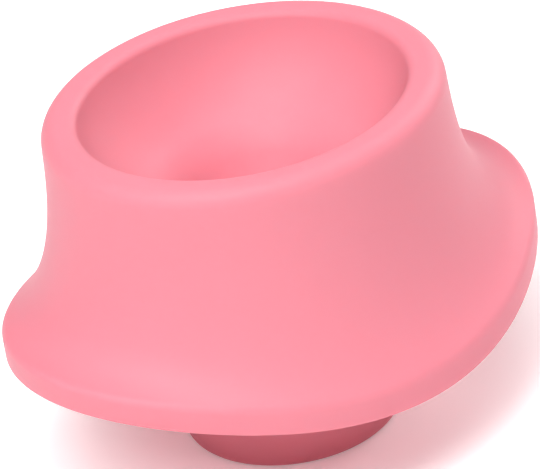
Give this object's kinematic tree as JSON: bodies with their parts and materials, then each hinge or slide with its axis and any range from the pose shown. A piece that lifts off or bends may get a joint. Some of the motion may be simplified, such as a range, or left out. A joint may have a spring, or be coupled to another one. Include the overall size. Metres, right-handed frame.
{
  "type": "suction massager head",
  "caption": "Soft silicone suction head: oval rounded mouth, flared wall, saddle-shaped oval flange and a round push-in stem with a stiffening core and an air passage.",
  "frame": {"origin": "centre of the stem's flat end face, the lowest point", "axes": "+Z out through the mouth, +X along the flange's long axis, +Y across the flange, towards a side that bends down"},
  "size_m": [0.036, 0.0306, 0.0228],
  "materials": {
    "soft_silicone": "matte, silky, slightly translucent pink",
    "core_plastic": "satin moulded plastic, pale pink"
  },
  "bodies": {
    "root": {"silicone_cup": "soft_silicone", "stem_core": "core_plastic"}
  },
  "joints": []
}
